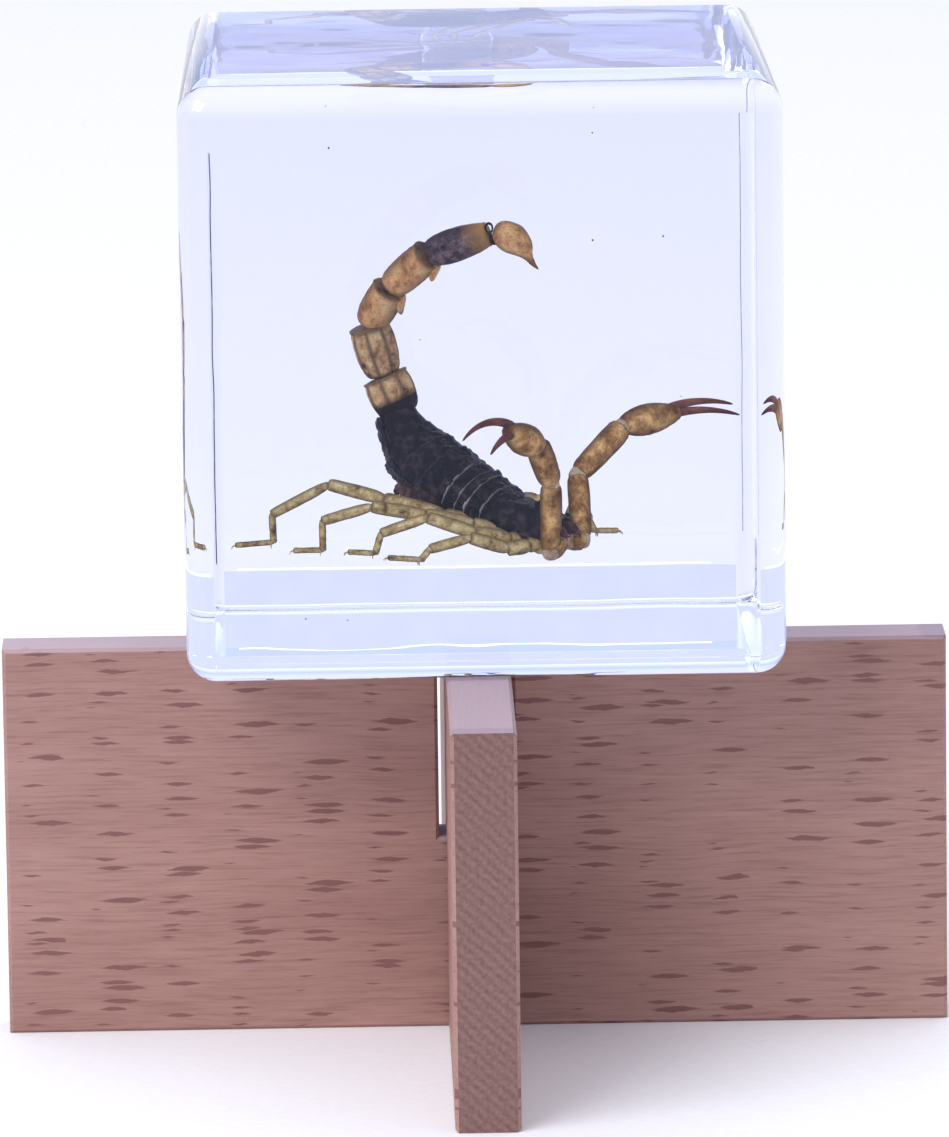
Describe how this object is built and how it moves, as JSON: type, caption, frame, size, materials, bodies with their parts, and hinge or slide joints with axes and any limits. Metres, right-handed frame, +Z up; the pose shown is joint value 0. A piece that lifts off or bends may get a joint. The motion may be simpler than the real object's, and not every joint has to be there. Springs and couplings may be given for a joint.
{
  "type": "scorpion in a clear resin block on a wooden display cross",
  "caption": "Clear resin cube with a whole scorpion sealed inside, tail raised and pincers open, resting on a display cross of slotted beech boards.",
  "frame": {"origin": "middle of the board cross, on the surface that the boards stand on", "axes": "+Z up; +X to the right along the board that lies across the view; the display face of the block looks towards -Y"},
  "size_m": [0.096, 0.096, 0.1],
  "materials": {
    "clear_resin": "polished",
    "beech": "satin",
    "scorpion_dark_cuticle": "satin",
    "scorpion_tan_cuticle": "satin"
  },
  "bodies": {
    "root": {"resin_block": "clear_resin", "board_across": "beech", "board_along": "beech"}
  },
  "joints": []
}
